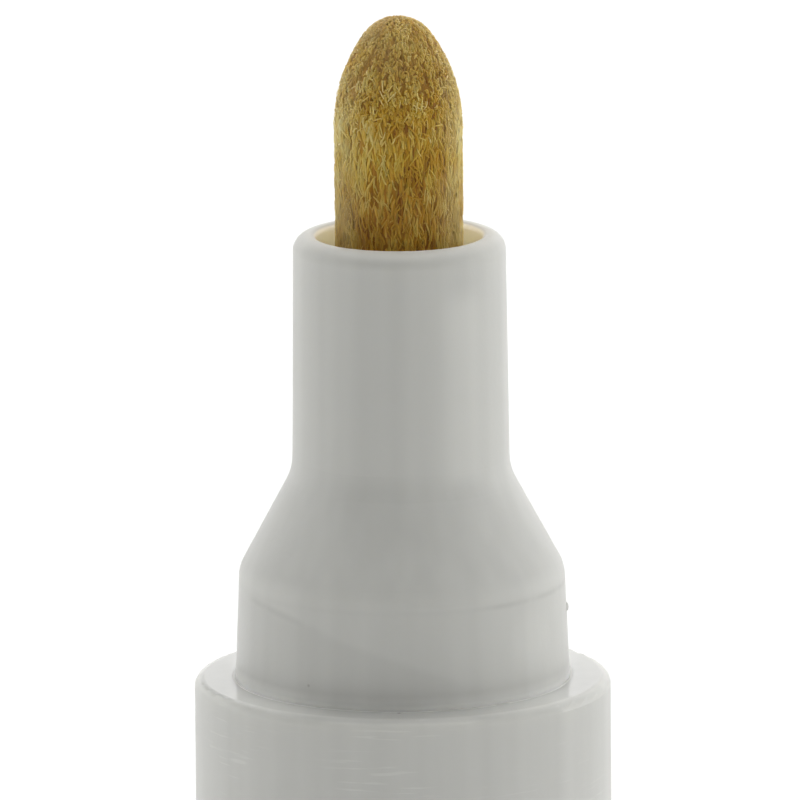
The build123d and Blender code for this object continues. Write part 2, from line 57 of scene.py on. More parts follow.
# Places read from the frame
NIB_LOW, NIB_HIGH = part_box("nib")
SPRING_LOW, SPRING_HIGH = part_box("valve_spring")
LABEL_LOW, LABEL_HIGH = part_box("label_sleeve")
CAP_LOW, CAP_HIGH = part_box("cap_shell")
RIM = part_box("nib_holder")[1].z
NOSE_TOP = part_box("barrel")[1].z
NIB_RADIUS = NIB_HIGH.x

# Camera, as the photograph was taken
PICTURE_WIDTH = 800.0           # pixels
PIXELS_PER_MM = 32.6            # at the marker's axis
SENSOR_WIDTH = 36.0             # millimetres, like the lens
CAMERA_DISTANCE = 600 * MM
CAMERA_ELEVATION = 12.0         # degrees
CAMERA_ROLL = -0.45             # degrees
AIM_BELOW_RIM = 5.21 * MM
AIM_SIDE = -0.015 * MM

# Light tent, by direction
TENT_COLOUR = (1.0, 0.995, 0.985, 1)
TENT_BACK = 1.4
TENT_TOP = 1.7
TENT_SIDE_SHARE = 0.14          # how much brighter the right is than the left
TENT_DIM = (-0.8, 0.2)          # from dark in front to bright, along the view
TENT_HIGH = (0.75, 0.95)        # from the walls to the bright top, upwards
TENT_KEY = 0.34                 # a soft patch to the right of the camera
TENT_KEY_WAY = (0.58, -0.75, 0.32)
TENT_KEY_EDGE = (0.7, 1.0)
FLOOR_SIZE = 60.0

# Nib
NIB_TIP_WEAR = 0.03 * MM
NIB_NOSE_RADIUS = 1.28 * MM
NIB_OGIVE_RADIUS = 4.98 * MM
NIB_TAIL_CHAMFER = 0.3 * MM
NIB_TRAVEL = 1.8 * MM
OUTLINE_POINTS = 300
GUIDE_DEPTH = 2.6 * MM          # from the mouth's rim down to the nib's close guide
CORE_SEED = 11
CORE_COLUMNS = 340
CORE_ROWS = 240
CORE_POINT_ROWS = 96            # of these rows, those on the point
CORE_SINK = 0.1 * MM            # the core lies this far under the nib's outline
CORE_RELIEF = 0.05 * MM
CORE_RIDGES = (7.0, 0.9)        # rows and columns that a ridge spreads over
CORE_GRAIN = (1.2, 1.2)
CORE_LIMIT = 2                  # spreads at which the relief is cut off
CORE_TINT = 0.15
POLE_TINT = 0.3
CLUMP_ROWS = 260
CLUMP_COLUMNS = 160
PIT_LEVEL = 1.0                 # how deep a pit has to be for its fibres to be missing
FIBRE_FLATNESS = 0.35
FIBRE_SIDES = 3
FIBRE_TAPER = 0.6
RIPPLE_PART = 5                 # a strand's ripple is its bow over this

# Mouth and collar, heights from the nose's top, right is positive
MOUTH_RADIUS = 2.55 * MM
MOUTH_EDGE = 0.1 * MM
COLLAR_OUTSIDE = (4.0 * MM, 4.6 * MM)
PAINT_LEVEL = 1.085 * MM        # of the paint that shows through the collar, on the axis
PAINT_SLOPE = (0.348, 0.089)    # its fall towards the right and the back
PAINT_DEPTH = (-0.25 * MM, 0.1 * MM)
PAINT_RIGHT = (0.5 * MM, 3.2 * MM)
PAINT_EDGE = 0.2 * MM
PAINT_EDGE_SPAN = ((-4.9 * MM, -4.4 * MM), (-3.9 * MM, -1.8 * MM))
RING_LINE = 3.01 * MM
RING_WIDTH = 0.14 * MM
RING_RIGHT = (2.0 * MM, 3.0 * MM)
# A darker band at the collar's foot: partly dirt, partly painted shade in the crease
FOOT_BAND = 0.85 * MM
# Painted light on the collar's foot, to lift the shade in its crease
FOOT_PALE = (0.1 * MM, 0.5 * MM)
FOOT_SILL = (0.02 * MM, 0.22 * MM)
FOOT_END = (-0.5 * MM, -0.2 * MM)
FOOT_MIDDLE = 1.0 * MM          # the foot grows paler away from here
FOOT_SIDES = (2.9 * MM, 5.6 * MM)
LIT_PLACE = 1.5 * MM            # right of the front, where collar and nose light each other
LIT_REACH = 1.8 * MM
# Painted shade on the cone, and a painted highlight streaked up the neck
CONE_SPAN = ((3.2 * MM, 3.8 * MM), (5.9 * MM, 6.7 * MM))
CONE_FLANKS = (1.8 * MM, 4.4 * MM)
STREAK_PLACE = 1.95 * MM
STREAK_REACH = 1.0 * MM
STREAK_SPAN = ((6.3 * MM, 7.0 * MM), (11.9 * MM, 12.9 * MM))
STREAK_BACK = (-1.5 * MM, -0.5 * MM)
BRIGHT_PATCH = (3.95 * MM, -3.1 * MM, 1.75 * MM)
BRIGHT_PATCH_SIZE = 1.3 * MM
COLLAR_SPECK = (-2.91 * MM, -4.27 * MM, 0.63 * MM)
SPECK_SIZE = 0.09 * MM
SPECK_CORE = 0.3                # the share of a speck's size that is full

# Burr and flash on the collar
BURR_PLACE = (5.05 * MM, 0.0, 2.1 * MM)
BURR_LENGTH = 0.3 * MM
BURR_THICKNESS = 0.14 * MM
BURR_STATIONS = 9
BURR_SIDES = 8
FLASH_RADII = (5.05 * MM, 5.234 * MM)   # of the flash that fills the gap round the collar's foot
FLASH_DEPTH = 0.06 * MM
FLASH_COLUMNS = 240

# Nose, heights from its top
NOSE_SPECK = (-0.12 * MM, -5.35 * MM, 0.0)
RUBBED_LEFT = (-5.4 * MM, -3.4 * MM, -1.6 * MM)
RUBBED_FRONT = (-0.6 * MM, -6.4 * MM, -1.9 * MM)
RUBBED_SIZE = 2.0 * MM
NOSE_FOOT = (-7.2 * MM, -6.6 * MM)
# Painted shade on the nose's top, by the collar's foot at the front
SEAM_SHADE_HEIGHT = (-0.16 * MM, -0.06 * MM)
SEAM_SHADE_SIDES = (1.4 * MM, 4.2 * MM)
SEAM_SHADE_BACK = (-2.0 * MM, 0.0)
LEDGE_HEIGHT = (-0.06 * MM, -0.01 * MM)
LEDGE_RADII = (6.05 * MM, 6.25 * MM)
LEDGE_LEFT = (-5.3 * MM, -4.7 * MM)
LEDGE_LEFT_MORE = 0.15 * MM     # how much wider the ledge is polished at the left
# Painted shade on the ledge's polished sides and along its rounded edge, dimming their highlights
LEDGE_SIDES = (4.6 * MM, 5.6 * MM)
EDGE_HEIGHT = (-0.3 * MM, -0.12 * MM)
EDGE_RADII = (6.1 * MM, 6.28 * MM)
EDGE_SIDES = (1.6 * MM, 3.0 * MM)
EDGE_RIGHT = (5.0 * MM, 5.6 * MM)

# Label and cap, from the label's top and the cap's ends
LABEL_BAND = (2.4 * MM, 8.4 * MM)
LABEL_LINE = (9.2 * MM, 9.6 * MM)
PRINT_EDGE = 0.05 * MM
LABEL_SEAM = 0.12 * MM
LABEL_ENDS = 0.25 * MM
CAP_RIM_WEAR = 0.5 * MM
CAP_CROWN_WEAR = 1.1 * MM
LINER_SMEAR = (6 * MM, 16 * MM)

# Spring
SPRING_WIRE = 0.4 * MM
SPRING_TURNS = 6.5
SPRING_CLOSED = 0.6             # turns at each end that lie close
SPRING_EASE = 0.5               # turns over which the pitch opens
SPRING_STATIONS = 300
SPRING_SIDES = 12
SPRING_END_PITCH = 0.42 * MM

# Colours and tones
FIBRE_STOPS = (
    (0.0, (0.28, 0.115, 0.003)),
    (0.35, (0.49, 0.262, 0.011)),
    (0.65, (0.64, 0.412, 0.045)),
    (1.0, (0.83, 0.65, 0.19)),
)
FIBRE_DRY = (0.52, 0.35, 0.125, 1)
# paler straw for the nib's left and right sides: painted light
FIBRE_PAINTED_SIDE_LIGHT = (0.82, 0.69, 0.31, 1)
FIBRE_SOAK_AND_SHADE = (0.72, 0.60, 0.42)         # what fibre keeps of its colour low down: wet paint, and painted shade towards the mouth
FIBRE_SHEEN = (1.0, 0.95, 0.55, 1)
HOLDER_TONE = (0.57, 0.575, 0.549)
BARREL_TONE = (0.565, 0.57, 0.545)
VALVE_TONE = (0.74, 0.74, 0.70)
LINER_TONE = (0.72, 0.72, 0.69)
DULL_SHARE = 0.955
# darker, warmer foot band: dirt and painted shade
FOOT_DIRT_AND_SHADE = (0.44, 0.42, 0.385, 1)
SPECK_DARK = (0.10, 0.085, 0.06, 1)
# Mouth: a paint stain painted pale as if lit through the wall, and a painted glow deeper in
MOUTH_STAINS_AND_LIGHT = ((0.92, 0.88, 0.74, 1), (0.96, 0.93, 0.82, 1))
MOUTH_GLOW = (0.045, 0.043, 0.031, 1)
BLACK = (0.0, 0.0, 0.0, 1)
# The flash's tones are painted light and shade: lighter at and just off the front, where the crease is
# shaded, darker at the sides
FLASH_FRONT = (0.62, 0.62, 0.60, 1)
FLASH_PALE = (0.70, 0.70, 0.68, 1)
FLASH_SIDE_SHADE = (0.38, 0.38, 0.36, 1)
LABEL_FILMS = ((0.735, 0.725, 0.68, 1), (0.765, 0.755, 0.71, 1))
LABEL_INKS = ((0.40, 0.235, 0.03, 1), (0.45, 0.27, 0.04, 1))
LABEL_DIRT = (0.42, 0.38, 0.30, 1)
CAP_OCHRES = ((0.39, 0.205, 0.018, 1), (0.45, 0.245, 0.026, 1))
CAP_WEAR = (0.66, 0.47, 0.17, 1)
VALVE_PAINTS = ((0.40, 0.24, 0.03, 1), (0.52, 0.34, 0.07, 1))
LINER_PAINT = (0.50, 0.31, 0.05, 1)
SPRING_STEELS = ((0.50, 0.50, 0.51, 1), (0.64, 0.64, 0.64, 1))
SPRING_PAINT = (0.46, 0.29, 0.05, 1)
BALL_STEELS = ((0.66, 0.66, 0.67, 1), (0.5, 0.5, 0.5, 1))
BALL_PAINT = (0.47, 0.30, 0.05, 1)
RUBBERS = ((0.018, 0.018, 0.018, 1), (0.05, 0.049, 0.047, 1))
FLOORS = ((0.90, 0.90, 0.90, 1), (0.92, 0.92, 0.92, 1))

# Plastic, all over
PLASTIC_GRAIN = 6000.0
PLASTIC_RELIEF = 0.004 * MM
PLASTIC_SCATTER = (1.0, 0.97, 0.88)


class Signal:
    """A number or colour on its way through a finish. Arithmetic on numbers adds Math nodes."""

    def __init__(self, finish, socket):
        self.finish = finish
        self.socket = socket

    def math(self, operation, *others):
        return self.finish.node("ShaderNodeMath", {"operation": operation}, dict(enumerate((self, *others))))

    def __add__(self, other):
        return self.math("ADD", other)

    __radd__ = __add__

    def __sub__(self, other):
        return self.math("SUBTRACT", other)

    def __rsub__(self, other):
        return self.math("MULTIPLY", -1.0) + other

    def __mul__(self, other):
        return self.math("MULTIPLY", other)

    __rmul__ = __mul__

    def __pow__(self, other):
        return self.math("POWER", other)

    def __abs__(self):
        return self.math("ABSOLUTE")

    def step(self, low, high):
        """A smooth step from 0 at low to 1 at high."""
        return self.finish.node(
            "ShaderNodeMapRange",
            {"interpolation_type": "SMOOTHSTEP"},
            {"Value": self, "From Min": low, "From Max": high},
        )

    def band(self, middle, reach):
        """1 at middle, falling smoothly to 0 at a distance of reach."""
        return 1 - abs(self - middle).step(0, reach)

    def between(self, rise, fall):
        """1 between two soft edges: up over the first and down over the second."""
        return self.step(*rise) * (1 - self.step(*fall))


def set_stops(elements, stops):
    """Gives a colour ramp its stops, each a place and a colour."""
    while len(elements) < len(stops):
        elements.new(1.0)
    for element, (place, colour) in zip(elements, stops):
        element.position = place
        element.color = (*colour, 1.0)


class Finish:
    """A node tree in the making: a material, or the world."""

    def __init__(self, tree):
        self.tree = tree
        tree.nodes.clear()

    def node(self, kind, settings, inputs, output=0):
        """Adds a node, sets its settings first, then its sockets' values or links. Gives one output."""
        made = self.tree.nodes.new(kind)
        for name, value in settings.items():
            if name == "stops":
                set_stops(made.color_ramp.elements, value)
            else:
                setattr(made, name, value)
        for name, value in inputs.items():
            if isinstance(value, Signal):
                self.tree.links.new(value.socket, made.inputs[name])
            else:
                made.inputs[name].default_value = value
        return Signal(self, made.outputs[output]) if len(made.outputs) else None

    def place(self):
        """The Object coordinates as a vector."""
        return self.node("ShaderNodeTexCoord", {}, {}, "Object")

    def axes(self, where, names):
        """The parts of a vector that are named, one letter each."""
        return [self.node("ShaderNodeSeparateXYZ", {}, {0: where}, name) for name in names]

    def vector(self, operation, first, second, output="Vector"):
        """Vector Math on two vectors or colours."""
        return self.node("ShaderNodeVectorMath", {"operation": operation}, {0: first, 1: second}, output)

    def noise(self, where, scale, detail=2.0, roughness=0.5):
        inputs = {"Vector": where, "Scale": scale, "Detail": detail, "Roughness": roughness}
        return self.node("ShaderNodeTexNoise", {}, inputs)

    def streaks(self, where, width, length):
        """Noise whose marks have one size round the axis and another along it."""
        scaled = self.vector("MULTIPLY", where, (1 / width, 1 / width, 1 / length))
        return self.noise(scaled, scale=1.0, detail=1.0)

    def speck(self, where, spot, size):
        """1 at a spot, falling smoothly to 0 at a distance of size."""
        return 1 - self.vector("DISTANCE", where, spot, "Value").step(size * SPECK_CORE, size)

    def mix(self, share, first, second):
        """A colour between two others. 6, 7 and 2 are a Mix node's colour sockets."""
        return self.node("ShaderNodeMix", {"data_type": "RGBA"}, {0: share, 6: first, 7: second}, 2)

    def shaded(self, colour, share):
        """A colour multiplied by a number."""
        return self.node("ShaderNodeVectorMath", {"operation": "SCALE"}, {0: colour, "Scale": share})

    def ramp(self, share, stops):
        return self.node("ShaderNodeValToRGB", {"stops": stops}, {0: share})

    def bump(self, height, distance):
        return self.node("ShaderNodeBump", {}, {"Height": height, "Distance": distance})


def material(name, surface):
    """A material whose Principled shader takes what surface(finish) gives as socket values."""
    made = bpy.data.materials.new(name)
    made.use_nodes = True
    finish = Finish(made.node_tree)
    shader = finish.node("ShaderNodeBsdfPrincipled", {}, surface(finish))
    finish.node("ShaderNodeOutputMaterial", {}, {"Surface": shader})
    return made


def piece(name, points, face_sets, made_of, body, smooth=True):
    """A mesh object at the origin from an array of points and arrays of faces, riding on a body."""
    corners = np.concatenate([faces.ravel() for faces in face_sets])
    sizes = np.concatenate([np.full(len(faces), faces.shape[1]) for faces in face_sets])
    mesh = bpy.data.meshes.new(name)
    mesh.vertices.add(len(points))
    mesh.vertices.foreach_set("co", np.ascontiguousarray(points, np.float32).ravel())
    mesh.loops.add(len(corners))
    mesh.loops.foreach_set("vertex_index", corners.astype(np.int32))
    mesh.polygons.add(len(sizes))
    mesh.polygons.foreach_set("loop_start", (np.cumsum(sizes) - sizes).astype(np.int32))
    mesh.polygons.foreach_set("use_smooth", np.full(len(sizes), smooth))
    mesh.update(calc_edges=True)
    mesh.materials.append(made_of)
    made = bpy.data.objects.new(name, mesh)
    bpy.context.scene.collection.objects.link(made)
    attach(made, body)
    return made


def keep_tint(made, tint):
    """Stores one number per point, which the fibre finish turns into colour."""
    stored = made.data.attributes.new("tint", "FLOAT", "POINT")
    stored.data.foreach_set("value", tint.astype(np.float32).ravel())


def unit(vectors):
    """Vectors divided by their lengths."""
    return vectors / np.maximum(np.linalg.norm(vectors, axis=-1, keepdims=True), 1e-12)


def tubes(paths, outwards, half_widths, sides, flatness=1.0):
    """Tubes along rows of points: a ring round every point but the ends, where single points close it.

    A ring's points stand at equal angles from outwards, at the half width of that point, and flatness is the
    ring's height over its width.
    """
    count, stations, _ = paths.shape
    along = unit(np.gradient(paths, axis=1))
    across = unit(np.cross(outwards, along))
    upper = flatness * np.cross(along, across)
    turn = math.pi / 2 + 2 * math.pi * np.arange(sides) / sides
    ring = across[:, :, None] * np.cos(turn)[:, None] + upper[:, :, None] * np.sin(turn)[:, None]
    rings = (paths[:, :, None] + ring * half_widths[..., None, None])[:, 1:-1].reshape(count, -1, 3)
    points = np.concatenate([rings, paths[:, :1], paths[:, -1:]], 1)
    inner = stations - 2
    first, last = inner * sides, inner * sides + 1
    faces = []
    for side in range(sides):
        beside = (side + 1) % sides
        faces.append((first, beside, side))
        faces.append((last, (inner - 1) * sides + side, (inner - 1) * sides + beside))
        for station in range(inner - 1):
            here, there = station * sides, (station + 1) * sides
            faces.append((here + side, here + beside, there + beside))
            faces.append((here + side, there + beside, there + side))
    faces = np.array(faces)[None] + (np.arange(count) * points.shape[1])[:, None, None]
    return points.reshape(-1, 3), faces.reshape(-1, 3), points.shape[1]


def from_nose(spot):
    """A place whose height is given from the nose's top."""
    x, y, height = spot
    return x, y, NOSE_TOP + height


def from_axis(x, y):
    """The distance from the marker's axis."""
    return (x * x + y * y) ** 0.5


# Nib


def nib_outline(count):
    """Radius and height down the nib's bullet point: an arc over the tip, then an ogive arc to the shaft."""
    inset = NIB_OGIVE_RADIUS - NIB_RADIUS
    rise = math.sqrt((NIB_OGIVE_RADIUS - NIB_NOSE_RADIUS) ** 2 - inset**2)
    nose_height = NIB_HIGH.z - NIB_TIP_WEAR - NIB_NOSE_RADIUS
    foot = nose_height - rise
    joint = math.atan2(rise, inset)
    over = np.linspace(math.pi / 2, joint, count // 3)
    down = np.linspace(joint, 0, count - count // 3 + 1)[1:]
    radius = np.r_[NIB_NOSE_RADIUS * np.cos(over), NIB_OGIVE_RADIUS * np.cos(down) - inset]
    height = np.r_[nose_height + NIB_NOSE_RADIUS * np.sin(over), foot + NIB_OGIVE_RADIUS * np.sin(down)]
    return radius, height


OUTLINE_RADIUS, OUTLINE_HEIGHT = nib_outline(OUTLINE_POINTS)
POINT_FOOT = OUTLINE_HEIGHT[-1]
OUTLINE_SLOPE = np.arctan2(OUTLINE_HEIGHT - POINT_FOOT, OUTLINE_RADIUS)[::-1]
OUTLINE_REACH = np.hypot(OUTLINE_HEIGHT - POINT_FOOT, OUTLINE_RADIUS)[::-1]


def outwards_on_nib(points):
    """Unit directions away from the axis, turning up over the point about the middle of its foot."""
    x, y, z = np.moveaxis(points, -1, 0)
    return unit(np.stack([x, y, np.maximum(z - POINT_FOOT, 0)], -1))


def snapped_to_nib(points, offset):
    """Points moved along those directions onto the nib's outline, plus an offset."""
    away = outwards_on_nib(points)
    slope = np.arcsin(np.clip(away[..., 2], -1, 1))
    reach = np.interp(slope, OUTLINE_SLOPE, OUTLINE_REACH) + offset
    foot = np.minimum(points[..., 2:], POINT_FOOT)
    on_axis = np.concatenate([np.zeros_like(foot), np.zeros_like(foot), foot], -1)
    return on_axis + away * reach[..., None]


def smoothed_noise(rng, rows, columns, row_width, column_width):
    """Random numbers on a grid, smoothed by a Gaussian of the two widths, with a spread of 1."""
    spectrum = np.fft.rfft2(rng.normal(size=(rows, columns)))
    across = np.exp(-2 * (math.pi * row_width * np.fft.fftfreq(rows)[:, None]) ** 2)
    along = np.exp(-2 * (math.pi * column_width * np.fft.rfftfreq(columns)[None, :]) ** 2)
    smooth = np.fft.irfft2(spectrum * across * along, s=(rows, columns))
    return smooth / smooth.std()


class Field:
    """Smoothed noise laid round the nib, by turn and height."""

    def __init__(self, seed, row_width, column_width):
        rng = np.random.default_rng(seed)
        self.values = smoothed_noise(rng, CLUMP_ROWS, CLUMP_COLUMNS, row_width, column_width)

    def at(self, turn, height):
        row = (NIB_HIGH.z - height) / (NIB_HIGH.z - RIM + GUIDE_DEPTH) * (CLUMP_ROWS - 1)
        column = turn / (2 * math.pi) * CLUMP_COLUMNS
        rows = np.clip(row, 0, CLUMP_ROWS - 1).astype(int)
        return self.values[rows, column.astype(int) % CLUMP_COLUMNS]


CLUMPS = Field(seed=5, row_width=8.0, column_width=1.0)
PATCHES = Field(seed=6, row_width=14.0, column_width=6.0)
PITS = Field(seed=7, row_width=3.2, column_width=1.0)


def make_nib_core(made_of):
    """The nib's body: its outline turned about the axis, less a relief.

    The relief is upright ridges down the shaft, which pass into an even grain over the point.
    """
    rng = np.random.default_rng(CORE_SEED)
    radius, height = nib_outline(CORE_POINT_ROWS)
    shaft_height = np.linspace(POINT_FOOT, NIB_LOW.z + NIB_TAIL_CHAMFER, CORE_ROWS - CORE_POINT_ROWS)[1:]
    radius = np.r_[radius[1:], np.full(len(shaft_height), NIB_RADIUS), NIB_RADIUS - NIB_TAIL_CHAMFER]
    height = np.r_[height[1:], shaft_height, NIB_LOW.z]
    rows = len(radius)
    turn = np.linspace(0, 2 * math.pi, CORE_COLUMNS, endpoint=False)
    ridges = smoothed_noise(rng, rows, CORE_COLUMNS, *CORE_RIDGES)
    grain = smoothed_noise(rng, rows, CORE_COLUMNS, *CORE_GRAIN)
    upright = np.clip((NIB_HIGH.z - height) / (NIB_HIGH.z - POINT_FOOT), 0, 1)[:, None]
    relief = np.clip(upright * ridges + (1 - upright) * grain, -CORE_LIMIT, CORE_LIMIT)
    depth = CORE_SINK - CORE_RELIEF * relief / CORE_LIMIT
    depth[height < RIM - GUIDE_DEPTH] = 0
    heights = np.repeat(height[:, None], CORE_COLUMNS, 1)
    points = np.stack([radius[:, None] * np.cos(turn), radius[:, None] * np.sin(turn), heights], -1)
    points -= outwards_on_nib(points) * depth[..., None]
    poles = np.array([(0, 0, OUTLINE_HEIGHT[0] - CORE_SINK), (0, 0, NIB_LOW.z)])
    row, column = np.meshgrid(np.arange(rows - 1), np.arange(CORE_COLUMNS), indexing="ij")
    here = row * CORE_COLUMNS + column
    beside = row * CORE_COLUMNS + (column + 1) % CORE_COLUMNS
    walls = np.stack([here, here + CORE_COLUMNS, beside + CORE_COLUMNS, beside], -1).reshape(-1, 4)
    top = np.full(CORE_COLUMNS, rows * CORE_COLUMNS)
    crown = np.stack([top, here[0], beside[0]], -1)
    tail = np.stack([top + 1, beside[-1] + CORE_COLUMNS, here[-1] + CORE_COLUMNS], -1)
    points = np.concatenate([points.reshape(-1, 3), poles])
    core = piece("nib_core", points, [walls, crown, tail], made_of, "nib")
    # The core's tint: a little darker where its relief is deep, painted shade in the grooves, and varying
    # with the clumps
    tint = CORE_TINT + 0.06 * relief + 0.05 * CLUMPS.at(turn[None], heights)
    keep_tint(core, np.r_[np.clip(tint, 0, 1).ravel(), POLE_TINT, POLE_TINT])
    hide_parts("nib")


def make_fibres(
    made_of, name, seed, count, heights, lengths, widths, lean, bow, crest, tints,
    lift=0.0, stations=9, pitted=False,
):
    """Strands that lie on the nib, with both ends under its core.

    A strand's line is its length along the surface, leaning from upright by a random angle, plus a bow of one
    half wave and a ripple of one and a half waves sideways. Its middle lies at crest, and its head may lift.
    """
    rng = np.random.default_rng(seed)
    run = np.linspace(-1, 1, stations)[None]
    height = rng.uniform(*heights, count)
    turn = rng.uniform(0, 2 * math.pi, count)
    kept = PITS.at(turn, height) < PIT_LEVEL if pitted else np.ones(count, bool)
    height, turn = height[kept], turn[kept]
    count = len(height)
    seed_radius = np.interp(-height, -OUTLINE_HEIGHT, OUTLINE_RADIUS, right=NIB_RADIUS)
    middle = np.stack([seed_radius * np.cos(turn), seed_radius * np.sin(turn), height], -1)
    side = np.stack([-np.sin(turn), np.cos(turn), np.zeros(count)], -1)
    up = np.cross(outwards_on_nib(middle), side)
    half = rng.uniform(*lengths, count)[:, None] / 2
    angle = rng.normal(0, math.radians(lean), count)[:, None]
    ripple = rng.normal(0, bow / RIPPLE_PART, count)[:, None] * np.sin(1.5 * math.pi * run)
    sideways = rng.normal(0, bow, count)[:, None] * (1 - run**2) + ripple
    path_up = half * run * np.cos(angle) - sideways * np.sin(angle)
    path_side = half * run * np.sin(angle) + sideways * np.cos(angle)
    paths = middle[:, None] + up[:, None] * path_up[..., None] + side[:, None] * path_side[..., None]
    root = -CORE_SINK - widths[1]
    offset = root + (rng.uniform(*crest, count)[:, None] - root) * (1 - run**4)
    offset = offset + np.abs(rng.normal(0, lift, count))[:, None] * np.clip(run, 0, 1) ** 2
    paths = snapped_to_nib(paths, offset)
    half_widths = rng.uniform(*widths, count)[:, None] / 2 * (1 - run**2) ** FIBRE_TAPER
    points, faces, per_strand = tubes(
        paths, outwards_on_nib(paths), half_widths, FIBRE_SIDES, FIBRE_FLATNESS
    )
    made = piece(name, points, [faces], made_of, "nib", smooth=False)
    low, high = tints
    share = 0.5 + 0.2 * CLUMPS.at(turn, height) + 0.14 * PATCHES.at(turn, height)
    share = share + rng.normal(0, 0.18, count)
    keep_tint(made, np.repeat(low + (high - low) * np.clip(share, 0, 1), per_strand))


# Layers of strands on the shaft and the point, from the core outwards
EXPOSED = RIM - GUIDE_DEPTH + NIB_TRAVEL
FIBRE_LAYERS = (
    dict(
        name="nib_shaft_underlay", seed=21, count=3200, heights=(EXPOSED, POINT_FOOT + 1.2 * MM),
        lengths=(0.6 * MM, 1.6 * MM), widths=(0.07 * MM, 0.13 * MM), lean=8, bow=0.04 * MM,
        crest=(-0.1 * MM, -0.075 * MM), tints=(0.0, 0.5),
    ),
    dict(
        name="nib_shaft_felt", seed=22, count=1700, heights=(EXPOSED, POINT_FOOT + 0.9 * MM),
        lengths=(0.45 * MM, 1.2 * MM), widths=(0.07 * MM, 0.14 * MM), lean=14, bow=0.05 * MM,
        crest=(-0.075 * MM, -0.05 * MM), tints=(0.3, 0.8),
    ),
    dict(
        name="nib_shaft_strands", seed=23, count=1500, heights=(EXPOSED, POINT_FOOT + 0.6 * MM),
        lengths=(0.3 * MM, 0.9 * MM), widths=(0.04 * MM, 0.07 * MM), lean=20, bow=0.04 * MM,
        crest=(-0.055 * MM, -0.03 * MM), tints=(0.35, 0.9),
    ),
    dict(
        name="nib_point_underlay", seed=24, count=3600,
        heights=(POINT_FOOT + 0.5 * MM, NIB_HIGH.z - 0.02 * MM),
        lengths=(0.2 * MM, 0.5 * MM), widths=(0.06 * MM, 0.1 * MM), lean=20, bow=0.03 * MM,
        crest=(-0.09 * MM, -0.065 * MM), tints=(0.0, 0.22), stations=7,
    ),
    dict(
        name="nib_point_felt", seed=25, count=5200,
        heights=(POINT_FOOT + 0.4 * MM, NIB_HIGH.z - 0.01 * MM),
        lengths=(0.12 * MM, 0.3 * MM), widths=(0.055 * MM, 0.11 * MM), lean=32, bow=0.02 * MM,
        crest=(-0.06 * MM, -0.03 * MM), tints=(0.3, 0.72), stations=7, pitted=True,
    ),
    dict(
        name="nib_tufts", seed=26, count=380, heights=(POINT_FOOT - 0.6 * MM, POINT_FOOT + 1.7 * MM),
        lengths=(0.16 * MM, 0.45 * MM), widths=(0.035 * MM, 0.06 * MM), lean=34, bow=0.022 * MM,
        crest=(-0.035 * MM, -0.01 * MM), tints=(0.45, 0.95), lift=0.02 * MM,
    ),
)


def fibre_surface(finish):
    """Paint-soaked fibre: brown in the gaps, ochre to pale straw on the strands, darker and browner down
    towards the mouth from wet paint and painted shade, and painted paler at the left and right sides.
    """
    where = finish.place()
    x, z = finish.axes(where, "XZ")
    tint = finish.node("ShaderNodeAttribute", {"attribute_name": "tint"}, {}, "Fac")
    patch = finish.noise(where, scale=1100.0, detail=3.0)
    fine = finish.noise(where, scale=9000.0)
    blush = finish.noise(where, scale=500.0)
    share = tint + (patch - 0.5) * 0.5 + (fine - 0.5) * 0.2
    colour = finish.ramp(share, FIBRE_STOPS)
    dry = z.step(POINT_FOOT + 0.6 * MM, NIB_HIGH.z - 0.3 * MM)
    colour = finish.mix(dry * (0.25 + 0.4 * blush.step(0.4, 0.6)), colour, FIBRE_DRY)
    # Darker and browner low on the nib, towards the mouth: partly wet paint, partly painted shade
    mouth = z.step(RIM - 0.2 * MM, RIM + 0.9 * MM)
    wet = (1 - z.step(RIM + 0.7 * MM, RIM + 2.8 * MM)) * (0.6 + 0.4 * mouth)
    colour = finish.mix(wet, colour, finish.vector("MULTIPLY", colour, FIBRE_SOAK_AND_SHADE))
    # Painted light: the nib's left and right sides are painted paler, in patches
    sides = abs(x).step(0.9 * MM, NIB_RADIUS) * patch.step(0.2, 0.6)
    return {
        "Base Color": finish.mix(sides * 0.5, colour, FIBRE_PAINTED_SIDE_LIGHT),
        "Roughness": 0.5 + 0.2 * fine,
        "Specular IOR Level": 0.36,
        "Coat Weight": share.step(0.4, 0.8) * z.step(POINT_FOOT - 0.8 * MM, POINT_FOOT + 0.4 * MM),
        "Coat Roughness": 0.35,
        "Sheen Weight": 1.0,
        "Sheen Roughness": 0.25,
        "Sheen Tint": FIBRE_SHEEN,
        "Subsurface Weight": 0.9,
        "Subsurface Radius": (1.0, 1.0, 1.0),
        "Subsurface Scale": 0.05 * MM,
    }


def make_nib():
    """The nib's core and its layers of strands."""
    fibre = material("nib_fibre", fibre_surface)
    make_nib_core(fibre)
    for layer in FIBRE_LAYERS:
        make_fibres(fibre, **layer)


# Plastics


def natural_plastic(finish, where, tone):
    """An off-white moulding: its colour with soft clouds and faint upright flow bands."""
    cloud = finish.noise(where, scale=260.0, detail=3.0)
    flow = finish.streaks(where, width=0.7 * MM, length=25 * MM)
    dull = [DULL_SHARE * part for part in tone]
    colour = finish.mix(cloud, (*dull, 1), (*tone, 1))
    return finish.shaded(colour, 0.94 + 0.12 * flow), cloud


def foot_light(x, height):
    """Painted light on the collar's foot, lifting the shade of its crease: most at the sill, more at the
    sides and at the lit front.
    """
    bottom = 1 - height.step(*FOOT_PALE)
    sill = 1 - height.step(*FOOT_SILL)
    aside = abs(x - FOOT_MIDDLE).step(*FOOT_SIDES)
    lit = x.band(LIT_PLACE, LIT_REACH)
    return ((0.28 + 0.2 * aside + 0.09 * lit) * bottom + 0.4 * sill) * height.step(*FOOT_END)


